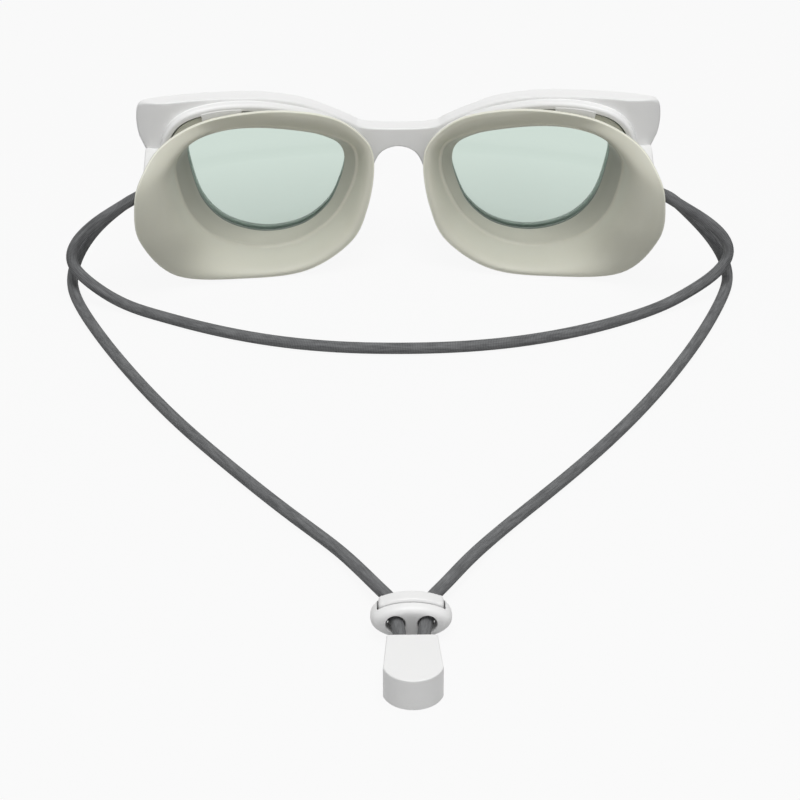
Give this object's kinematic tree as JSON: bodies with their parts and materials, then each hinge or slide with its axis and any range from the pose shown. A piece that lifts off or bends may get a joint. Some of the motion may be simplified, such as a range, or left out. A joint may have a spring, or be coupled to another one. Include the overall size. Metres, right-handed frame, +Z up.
{
  "type": "swimming goggles",
  "caption": "Swimming goggles with a one-piece wrapped front, pale lenses, deep flared soft cups and a thin braided cord strap with a push-button slide lock and an end bell.",
  "frame": {"origin": "on the table, under the middle of the front and cups' bounding box", "axes": "+X to the right as seen from behind, +Y the way the wearer looks, +Z up"},
  "size_m": [0.1938, 0.2374, 0.0519],
  "materials": {
    "shell": "satin white",
    "carrier": "dark grey green",
    "lens": "clear, pale green tint",
    "cup": "soft satin silicone, grey beige",
    "cord": "fine ribbed elastic cord, dark grey",
    "button": "satin white",
    "metal": "plain"
  },
  "bodies": {
    "front": {"front_frame": "shell", "carrier_left": "carrier", "carrier_right": "carrier", "lens_left": "lens", "lens_right": "lens", "gasket_left": "cup", "gasket_right": "cup", "cord_back": "cord", "cord_left": "cord", "cord_right": "cord", "cord_turn_left": "cord", "cord_turn_right": "cord", "cord_tail_left": "cord", "cord_tail_right": "cord", "bell_cover": "shell", "bell_base": "shell", "ferrule_left": "metal", "ferrule_right": "metal"},
    "lock": {"lock_body": "shell", "lock_spring": "metal"},
    "button": {"lock_button": "button"}
  },
  "joints": [
    {"name": "lock_slide", "type": "slide", "parent": "front", "child": "lock", "axis": [0, 1, 0], "range_m": [-0.008, 0.025], "deforming": ["cord_left", "cord_right", "cord_tail_left", "cord_tail_right"]},
    {"name": "button_press", "type": "slide", "parent": "lock", "child": "button", "axis": [0, 0, -1], "range_m": [0, 0.0011], "stiffness_N_per_m": 1200, "springref_m": -0.0012, "deforming": ["lock_spring"]}
  ]
}
